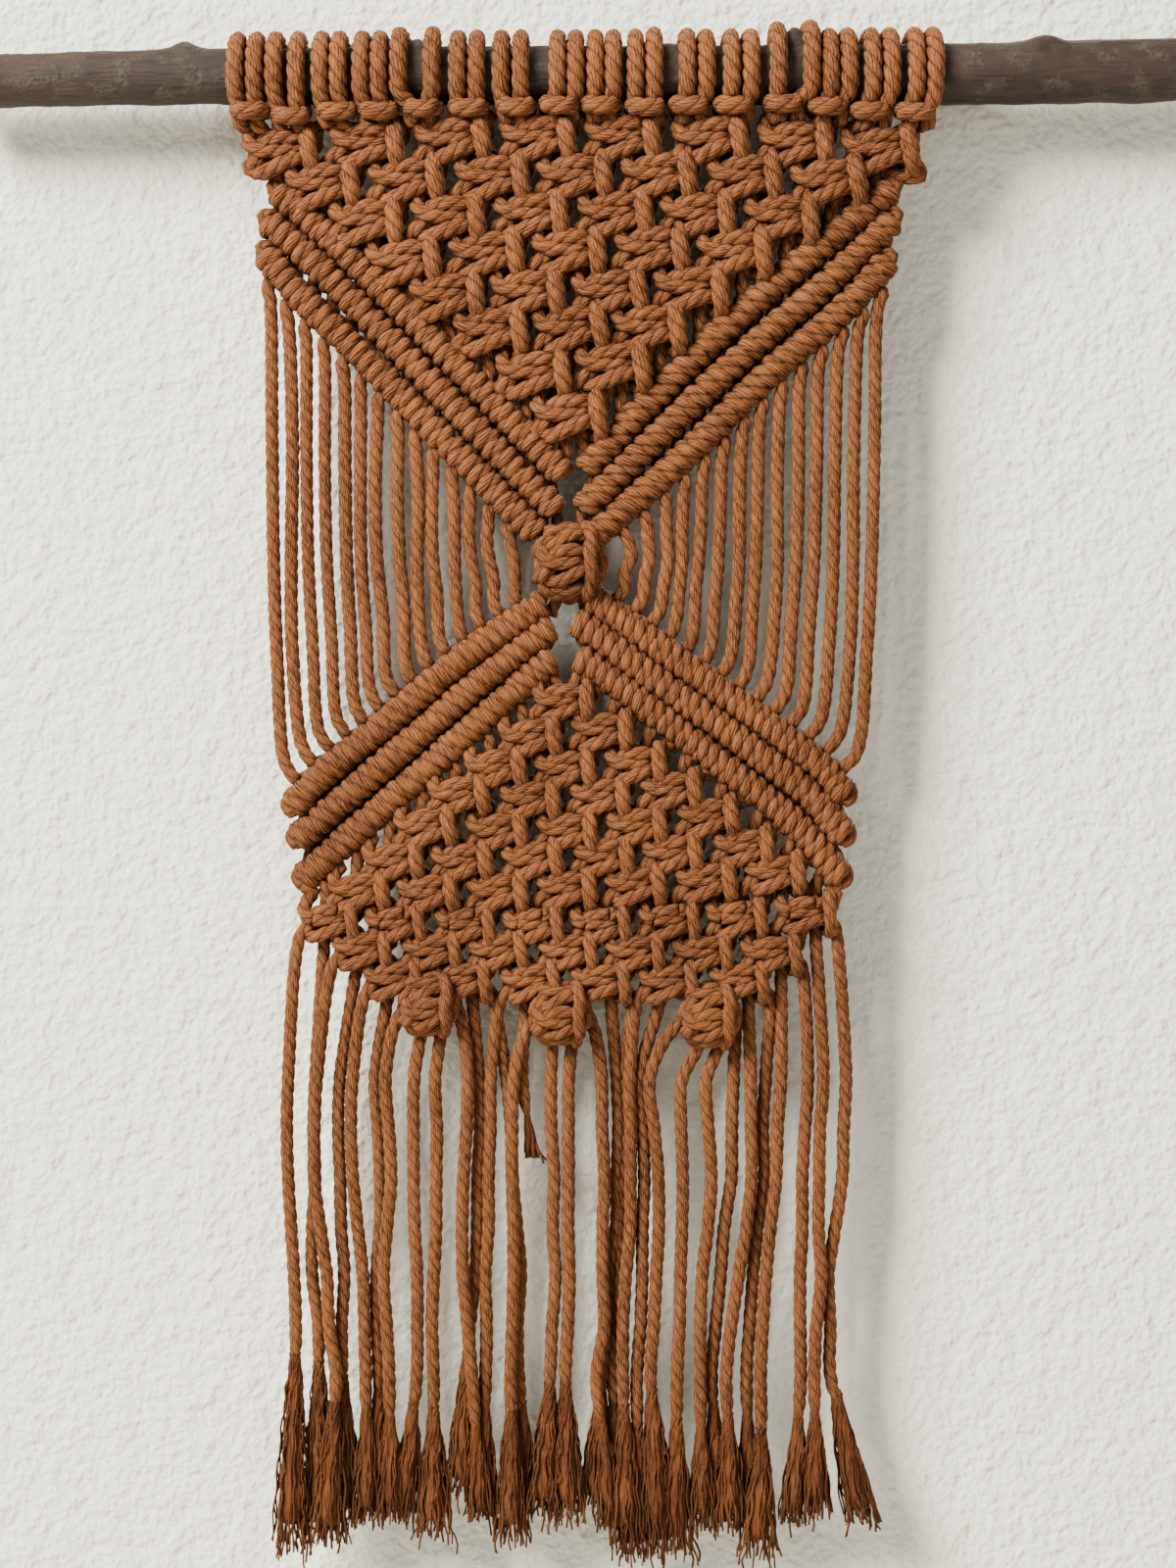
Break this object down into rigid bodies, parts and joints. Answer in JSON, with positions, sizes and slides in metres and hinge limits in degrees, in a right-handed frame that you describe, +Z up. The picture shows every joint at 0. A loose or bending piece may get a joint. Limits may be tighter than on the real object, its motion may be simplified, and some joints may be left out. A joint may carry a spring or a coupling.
{
  "type": "macrame wall hanging on a branch",
  "caption": "Knotted cotton macrame panel with an X of ridged bars, loose strands at its sides, berry knots and a long fringe, hung on a short rough branch.",
  "frame": {"origin": "in the branch's axis, halfway along the branch", "axes": "+X along the branch to the viewer's right, -Y out of the hanging's front towards the viewer, +Z up"},
  "size_m": [0.44, 0.0325, 0.5221],
  "materials": {
    "bark": "rough purple-brown bark with grey-green flecks",
    "cotton_cord": "matt dyed cotton, three-ply twisted cord, terracotta",
    "cotton_fringe": "matt dyed cotton cord, unlaid into loose yarn at its ends"
  },
  "bodies": {
    "root": {"branch": "bark", "macrame": "cotton_cord", "fringe": "cotton_fringe"}
  },
  "joints": []
}
